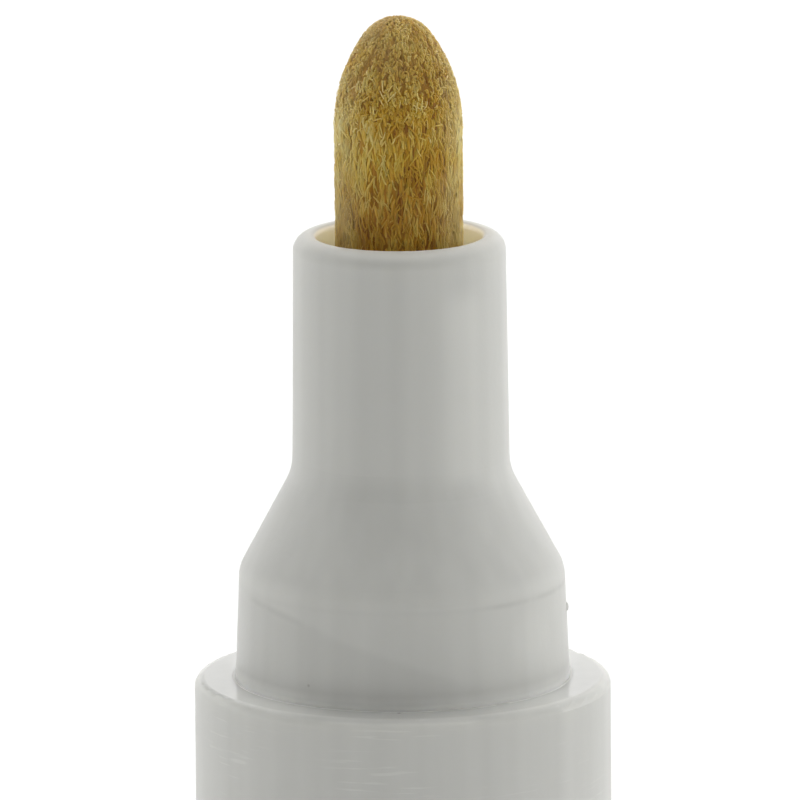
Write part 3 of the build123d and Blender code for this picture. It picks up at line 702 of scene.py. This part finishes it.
def neck_light(x, y, height):
    """Painted light in a soft streak up the neck's right front, less a painted shade on the cone that deepens
    to its flanks.
    """
    streak = x.band(STREAK_PLACE, STREAK_REACH) * height.between(*STREAK_SPAN) * (1 - y.step(*STREAK_BACK))
    return 0.11 * streak - (0.05 + 0.06 * abs(x).step(*CONE_FLANKS)) * height.between(*CONE_SPAN)


def holder_surface(finish):
    """Translucent off-white moulding with a paint stain in the mouth, a paint level and marks on its collar,
    and painted light and shade on the collar's foot, the neck, the cone and the mouth.
    """
    where = finish.place()
    x, y, z = finish.axes(where, "XYZ")
    height = z - NOSE_TOP
    radius = from_axis(x, y)
    colour, cloud = natural_plastic(finish, where, HOLDER_TONE)
    wear_and_shade = finish.noise(where, scale=900.0)
    outside = radius.step(*COLLAR_OUTSIDE)
    slope_right, slope_back = PAINT_SLOPE
    level = height + slope_right * x + slope_back * y - PAINT_LEVEL
    paint = (1 - level.step(*PAINT_DEPTH)) * (1 - x.step(*PAINT_RIGHT)) * outside
    edge = level.band(0.0, PAINT_EDGE) * x.between(*PAINT_EDGE_SPAN) * outside * wear_and_shade.step(0.2, 0.5)
    right = 0.2 + 0.8 * x.step(*RING_RIGHT)
    ring = height.band(RING_LINE, RING_WIDTH) * outside * wear_and_shade.step(0.25, 0.5) * right
    # A darker, warmer band at the collar's foot: partly dirt, partly painted shade in the crease
    foot = 1 - height.step(0.0, FOOT_BAND)
    patch = finish.speck(where, from_nose(BRIGHT_PATCH), BRIGHT_PATCH_SIZE)
    lip = z.step(RIM - 0.6 * MM, RIM - 0.2 * MM)
    shade = 1 - 0.06 * paint - 0.1 * edge - 0.1 * ring - 0.02 * foot - 0.12 * lip + 0.05 * patch
    colour = finish.shaded(colour, shade + foot_light(x, height) + neck_light(x, y, height))
    colour = finish.mix(foot * 0.06, colour, FOOT_DIRT_AND_SHADE)
    speck = finish.speck(where, from_nose(COLLAR_SPECK), SPECK_SIZE)
    colour = finish.mix(speck * 0.75, colour, SPECK_DARK)
    # The mouth: a paint stain, painted much paler than the plastic as if lit through the wall, and deeper
    # down a painted glow
    stain = 1 - radius.step(MOUTH_RADIUS, MOUTH_RADIUS + MOUTH_EDGE)
    stained_and_lit = finish.mix(finish.noise(where, scale=700.0), *MOUTH_STAINS_AND_LIGHT)
    glow = stain * z.step(RIM - GUIDE_DEPTH, RIM - 0.5 * MM)
    grain = finish.noise(where, PLASTIC_GRAIN)
    return {
        "Base Color": finish.mix(stain, colour, stained_and_lit),
        "Roughness": 0.34 + 0.12 * cloud - 0.06 * paint,
        "Emission Color": finish.mix(glow, BLACK, MOUTH_GLOW),
        "Emission Strength": 1.0,
        "Normal": finish.bump(grain - 0.6 * ring, PLASTIC_RELIEF),
        "Subsurface Weight": 0.8,
        "Subsurface Radius": PLASTIC_SCATTER,
        "Subsurface Scale": 0.9 * MM,
    }


def barrel_scuffs(finish, where, height):
    """Arcs rubbed round the nose by the cap, and fine scratches along the tube below it."""
    rubbed = finish.streaks(where, width=1.5 * MM, length=0.11 * MM)
    drawn = finish.streaks(where, width=0.06 * MM, length=7 * MM)
    zone = finish.noise(where, scale=330.0, detail=1.0)
    for spot in (RUBBED_LEFT, RUBBED_FRONT):
        zone = zone + 0.2 * finish.speck(where, from_nose(spot), RUBBED_SIZE)
    on_nose = height.step(*NOSE_FOOT)
    scuff = rubbed.step(0.58, 0.72) * zone.step(0.46, 0.7) * on_nose
    scratch = drawn.step(0.69, 0.78) * zone.step(0.5, 0.65) * (1 - on_nose)
    return scuff, scratch


def nose_ledge(x, y, height):
    """How polished the nose's ledge is, and the painted shade taken from its tone: by the collar's foot at
    the front, at the polished sides and along the rounded edge.
    """
    radius = from_axis(x, y)
    aside = abs(x)
    front = (1 - aside.step(*SEAM_SHADE_SIDES)) * (1 - y.step(*SEAM_SHADE_BACK))
    seam_shade = height.step(*SEAM_SHADE_HEIGHT) * front * (1 - 0.2 * x.band(LIT_PLACE, LIT_REACH))
    left = 1 - x.step(*LEDGE_LEFT)
    polished = height.step(*LEDGE_HEIGHT) * (1 - (radius - LEDGE_LEFT_MORE * left).step(*LEDGE_RADII))
    rounded = radius.step(*EDGE_RADII) * height.step(*EDGE_HEIGHT)
    edge = rounded * aside.step(*EDGE_SIDES) * (1 - left) * (1 - 0.6 * x.step(*EDGE_RIGHT))
    return polished, 0.27 * seam_shade + 0.3 * polished * aside.step(*LEDGE_SIDES) + 0.12 * edge


def barrel_surface(finish):
    """Satin off-white moulding, scuffed on the nose where the cap rubs, with a polished ledge that carries
    painted shade.
    """
    where = finish.place()
    x, y, z = finish.axes(where, "XYZ")
    height = z - NOSE_TOP
    colour, cloud = natural_plastic(finish, where, BARREL_TONE)
    scuff, scratch = barrel_scuffs(finish, where, height)
    # The ledge's second value is painted shade, taken from the tone below
    polished, wear_and_shade = nose_ledge(x, y, height)
    colour = finish.shaded(colour, 1 + 0.1 * scuff + 0.05 * scratch - wear_and_shade)
    speck = finish.speck(where, from_nose(NOSE_SPECK), SPECK_SIZE)
    colour = finish.mix(speck * 0.75, colour, SPECK_DARK)
    grain = finish.noise(where, PLASTIC_GRAIN)
    return {
        "Base Color": colour,
        "Roughness": 0.34 + 0.12 * cloud + 0.15 * scuff,
        "Normal": finish.bump(grain + 0.8 * scuff - 0.5 * scratch, PLASTIC_RELIEF),
        "Coat Weight": 0.6 * polished,
        "Coat Roughness": 0.06,
        "Coat IOR": 1.7,
        "Subsurface Weight": 0.6,
        "Subsurface Radius": PLASTIC_SCATTER,
        "Subsurface Scale": 0.8 * MM,
    }


def printed(below_top, stripe):
    """1 on a printed stripe, which is given by its top and its bottom below the label's top."""
    top, bottom = stripe
    return below_top.between((top, top + PRINT_EDGE), (bottom, bottom + PRINT_EDGE))


def label_surface(finish):
    """Bare glossy film: ivory white, one plain band in the paint's colour, a lapped seam at the back."""
    where = finish.place()
    x, y, z = finish.axes(where, "XYZ")
    cloud = finish.noise(where, scale=120.0, detail=3.0)
    below_top = LABEL_HIGH.z - z
    seam = x.band(0.0, LABEL_SEAM) * y.step(0.0, 1.0 * MM)
    ends = below_top.band(0.0, LABEL_ENDS) + (z - LABEL_LOW.z).band(0.0, LABEL_ENDS)
    print_share = printed(below_top, LABEL_BAND) + printed(below_top, LABEL_LINE)
    colour = finish.mix(print_share, finish.mix(cloud, *LABEL_FILMS), finish.mix(cloud, *LABEL_INKS))
    colour = finish.mix(seam * 0.5 + ends * 0.35, colour, LABEL_DIRT)
    scratch = finish.streaks(where, width=0.08 * MM, length=9 * MM).step(0.68, 0.78)
    ripple = finish.noise(where, scale=350.0, detail=1.0)
    return {
        "Base Color": colour,
        "Roughness": 0.2 + 0.08 * cloud + 0.2 * scratch,
        "Normal": finish.bump(ripple - 0.5 * seam - 0.1 * scratch, 0.02 * MM),
        "Coat Weight": 0.25,
        "Coat Roughness": 0.12,
    }


def cap_surface(finish):
    """Gloss moulding in the paint's colour, with fine pull marks along it and pale wear at both ends."""
    where = finish.place()
    [z] = finish.axes(where, "Z")
    cloud = finish.noise(where, scale=200.0, detail=3.0)
    fine = finish.noise(where, scale=1600.0, detail=3.0)
    scratch = finish.streaks(where, width=0.07 * MM, length=6 * MM).step(0.68, 0.78)
    ends = (CAP_HIGH.z - z).band(0.0, CAP_RIM_WEAR) + (z - CAP_LOW.z).band(0.0, CAP_CROWN_WEAR)
    wear = ends * fine.step(0.5, 0.68)
    colour = finish.mix(wear * 0.35 + scratch * 0.12, finish.mix(cloud, *CAP_OCHRES), CAP_WEAR)
    grain = finish.noise(where, scale=4000.0)
    return {
        "Base Color": colour,
        "Roughness": 0.2 + 0.1 * cloud + 0.2 * wear + 0.15 * scratch,
        "Normal": finish.bump(grain - 0.7 * scratch, PLASTIC_RELIEF),
        "Subsurface Weight": 0.1,
        "Subsurface Radius": (1.0, 0.6, 0.2),
        "Subsurface Scale": 0.5 * MM,
    }


def valve_surface(finish):
    """Natural white moulding that dried paint has coated in patches."""
    where = finish.place()
    colour, cloud = natural_plastic(finish, where, VALVE_TONE)
    coat = finish.noise(where, scale=420.0, detail=4.0, roughness=0.6).step(0.46, 0.62)
    return {
        "Base Color": finish.mix(coat * 0.75, colour, finish.mix(cloud, *VALVE_PAINTS)),
        "Roughness": 0.42 + 0.1 * cloud - 0.12 * coat,
        "Normal": finish.bump(coat, 0.03 * MM),
        "Subsurface Weight": 0.3,
        "Subsurface Scale": 0.6 * MM,
    }


def liner_surface(finish):
    """Natural white moulding with faint turned lines and a paint smear deep in the cup."""
    where = finish.place()
    [z] = finish.axes(where, "Z")
    colour, cloud = natural_plastic(finish, where, LINER_TONE)
    lines = finish.streaks(where, width=12 * MM, length=0.12 * MM)
    smear = finish.noise(where, scale=260.0, detail=3.0).step(0.42, 0.66)
    deep = (1 - z.step(*LINER_SMEAR)) * smear
    return {
        "Base Color": finish.mix(deep * 0.7, colour, LINER_PAINT),
        "Roughness": 0.36 + 0.12 * cloud,
        "Normal": finish.bump(lines, PLASTIC_RELIEF),
        "Subsurface Weight": 0.4,
        "Subsurface Scale": 0.7 * MM,
    }


# Burr and flash on the collar


def make_burr(made_of):
    """A speck of moulding flash on the collar's right: a short upright spindle, half sunk in the wall."""
    run = np.linspace(-1, 1, BURR_STATIONS)
    path = np.array(from_nose(BURR_PLACE)) + run[:, None] * np.array((0, 0, BURR_LENGTH / 2))
    outwards = np.array((1.0, 0.0, 0.0))
    half_widths = BURR_THICKNESS / 2 * np.sqrt(1 - run**2)
    points, faces, _ = tubes(path[None], outwards, half_widths[None], BURR_SIDES)
    piece("collar_burr", points, [faces], made_of, "section")


def flash_surface(finish):
    """Off-white flash, flush with the barrel's nose, with a little dirt in it, and painted light and shade:
    paler just off the front, where the crease lies in shade, and darker at the sides.
    """
    where = finish.place()
    [x] = finish.axes(where, "X")
    dirt = finish.noise(where, scale=500.0, detail=3.0)
    pale = finish.mix(abs(x).step(1.5 * MM, 3.2 * MM), FLASH_FRONT, FLASH_PALE)
    side_shaded = finish.mix(abs(x).step(4.8 * MM, 5.2 * MM), pale, FLASH_SIDE_SHADE)
    return {
        "Base Color": finish.shaded(side_shaded, 0.92 + 0.12 * dirt),
        "Roughness": 0.2 + 0.2 * dirt,
    }


def make_flash():
    """The flash that closes the gap round the collar's foot: a small oblong turned about the axis."""
    turn = 2 * math.pi * np.arange(FLASH_COLUMNS)[:, None] / FLASH_COLUMNS
    inner, outer = FLASH_RADII
    radius = np.array([inner, outer, outer, inner])[None]
    height = NOSE_TOP - FLASH_DEPTH * np.array([1, 1, 0, 0])[None]
    points = np.stack(np.broadcast_arrays(radius * np.cos(turn), radius * np.sin(turn), height), -1)
    column, side = np.meshgrid(np.arange(FLASH_COLUMNS), np.arange(4), indexing="ij")
    onwards = (column + 1) % FLASH_COLUMNS * 4
    beside = (side + 1) % 4
    faces = np.stack([column * 4 + side, onwards + side, onwards + beside, column * 4 + beside], -1)
    made_of = material("collar_flash", flash_surface)
    points, faces = points.reshape(-1, 3), faces.reshape(-1, 4)
    piece("collar_flash", points, [faces], made_of, "section", smooth=False)


# Metal and rubber


def spring_surface(finish):
    """Drawn steel wire: fine drawing marks and a little paint left between the turns."""
    where = finish.place()
    drawn = finish.noise(where, scale=14000.0)
    paint = finish.noise(where, scale=900.0, detail=3.0).step(0.54, 0.68)
    return {
        "Base Color": finish.mix(paint * 0.85, finish.mix(drawn, *SPRING_STEELS), SPRING_PAINT),
        "Metallic": 1 - 0.9 * paint,
        "Roughness": 0.24 + 0.14 * drawn + 0.15 * paint,
        "Normal": finish.bump(drawn, 0.003 * MM),
    }


def ball_surface(finish):
    """Polished steel with fine scratches, wet with paint in runs."""
    where = finish.place()
    paint = finish.noise(where, scale=380.0, detail=3.0).step(0.5, 0.6)
    scratch = finish.streaks(where, width=0.08 * MM, length=2 * MM).step(0.66, 0.78)
    return {
        "Base Color": finish.mix(paint * 0.9, finish.mix(scratch, *BALL_STEELS), BALL_PAINT),
        "Metallic": 1 - 0.95 * paint,
        "Roughness": 0.08 + 0.15 * scratch + 0.2 * paint,
        "Normal": finish.bump(paint, 0.03 * MM),
    }


def rubber_surface(finish):
    """Black moulded rubber with a grey bloom and a fine matt grain."""
    where = finish.place()
    bloom = finish.noise(where, scale=700.0, detail=3.0)
    grain = finish.noise(where, scale=9000.0)
    return {
        "Base Color": finish.mix(bloom.step(0.35, 0.75), *RUBBERS),
        "Roughness": 0.58 + 0.2 * bloom,
        "Normal": finish.bump(grain, 0.006 * MM),
    }


def make_spring():
    """A coil of round wire: its height is the running sum of a pitch, close at both ends and open between."""
    turn = np.linspace(0, SPRING_TURNS, SPRING_STATIONS)
    from_end = np.minimum(turn, SPRING_TURNS - turn)
    open_share = np.clip(from_end - SPRING_CLOSED, 0, SPRING_EASE) / SPRING_EASE
    open_share = open_share**2 * (3 - 2 * open_share)
    room = SPRING_HIGH.z - SPRING_LOW.z - SPRING_WIRE
    open_pitch = (room - SPRING_END_PITCH * SPRING_TURNS) / (SPRING_TURNS * open_share.mean())
    height = np.cumsum(SPRING_END_PITCH + open_pitch * open_share)
    height = (height - height[0]) / (height[-1] - height[0]) * room
    radius = SPRING_HIGH.x - SPRING_WIRE / 2
    angle = 2 * math.pi * turn
    low = SPRING_LOW.z + SPRING_WIRE / 2
    path = np.stack([radius * np.cos(angle), radius * np.sin(angle), low + height], -1)
    path = np.concatenate([path[:1], path, path[-1:]])[None]
    outwards = unit(path * (1, 1, 0))
    points, faces, _ = tubes(path, outwards, np.full(path.shape[:2], SPRING_WIRE / 2), SPRING_SIDES)
    steel = material("spring_steel", spring_surface)
    coil = piece("spring_coil", points, [faces], steel, "section")
    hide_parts("valve_spring")
    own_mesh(coil)


# Pieces carried over from the frame


def finish_nodes():
    """Gives each carried-over CAD node its finish, and the nib holder its small trim."""
    holder = material("holder_plastic", holder_surface)
    barrel = material("barrel_plastic", barrel_surface)
    valve = material("valve_plastic", valve_surface)
    ball = material("ball_steel", ball_surface)
    rubber = material("seal_rubber", rubber_surface)
    finishes = {
        "nib_holder": holder,
        "barrel": barrel,
        "tail_plug": barrel,
        "label_sleeve": material("label_film", label_surface),
        "cap_shell": material("cap_plastic", cap_surface),
        "cap_liner": material("liner_plastic", liner_surface),
        "valve_seat": valve,
        "valve_plunger": valve,
        "valve_cage": valve,
        "mixing_ball_1": ball,
        "mixing_ball_2": ball,
        "section_gasket": rubber,
        "plunger_seal": rubber,
    }
    for node, made_of in finishes.items():
        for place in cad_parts[node].material_slots:
            place.material = made_of
    make_burr(holder)
    make_flash()


# Stage


def floor_surface(finish):
    """Plain pale floor with faint clouds."""
    cloud = finish.noise(finish.place(), scale=3.0)
    return {
        "Base Color": finish.mix(cloud, *FLOORS),
        "Roughness": 0.85 + 0.1 * cloud,
    }


def lay_floor():
    """A very large plain pale floor under the cap."""
    half = FLOOR_SIZE / 2
    corners = [(-half, -half, 0), (half, -half, 0), (half, half, 0), (-half, half, 0)]
    mesh = bpy.data.meshes.new("floor")
    mesh.from_pydata(corners, [], [(0, 1, 2, 3)])
    mesh.materials.append(material("floor", floor_surface))
    floor = bpy.data.objects.new("floor", mesh)
    bpy.context.scene.collection.objects.link(floor)


def light_tent():
    """A white tent: bright behind, above and at the sides, dark in front but for one soft patch."""
    world = bpy.data.worlds.new("tent")
    world.use_nodes = True
    finish = Finish(world.node_tree)
    way = finish.node("ShaderNodeTexCoord", {}, {}, "Generated")
    across, away, up = finish.axes(way, "XYZ")
    level = TENT_BACK * away.step(*TENT_DIM)
    level = level + (TENT_TOP - level) * up.step(*TENT_HIGH)
    level = level * (1 + TENT_SIDE_SHARE * across)
    facing = finish.vector("DOT_PRODUCT", way, TENT_KEY_WAY, "Value")
    level = level + TENT_KEY * facing.step(*TENT_KEY_EDGE)
    light = finish.node("ShaderNodeBackground", {}, {"Color": TENT_COLOUR, "Strength": level})
    finish.node("ShaderNodeOutputWorld", {}, {"Surface": light})
    bpy.context.scene.world = world


def place_camera():
    """A long lens in front of the marker and a little above it, aimed at the neck and rolled slightly."""
    tilt = math.radians(CAMERA_ELEVATION)
    back = Vector((0, -math.cos(tilt), math.sin(tilt)))
    data = bpy.data.cameras.new("camera")
    data.sensor_width = SENSOR_WIDTH
    data.lens = SENSOR_WIDTH * CAMERA_DISTANCE / (PICTURE_WIDTH / PIXELS_PER_MM * MM)
    camera = bpy.data.objects.new("camera", data)
    bpy.context.scene.collection.objects.link(camera)
    facing = (-back).to_track_quat("-Z", "Y").to_matrix().to_4x4()
    roll = Matrix.Rotation(math.radians(CAMERA_ROLL), 4, "Z")
    aim = Vector((AIM_SIDE, 0, RIM - AIM_BELOW_RIM))
    camera.matrix_world = Matrix.Translation(aim + back * CAMERA_DISTANCE) @ facing @ roll
    bpy.context.scene.camera = camera


bpy.context.scene.view_settings.view_transform = "Standard"
place_camera()
light_tent()
lay_floor()
finish_nodes()
make_nib()
make_spring()
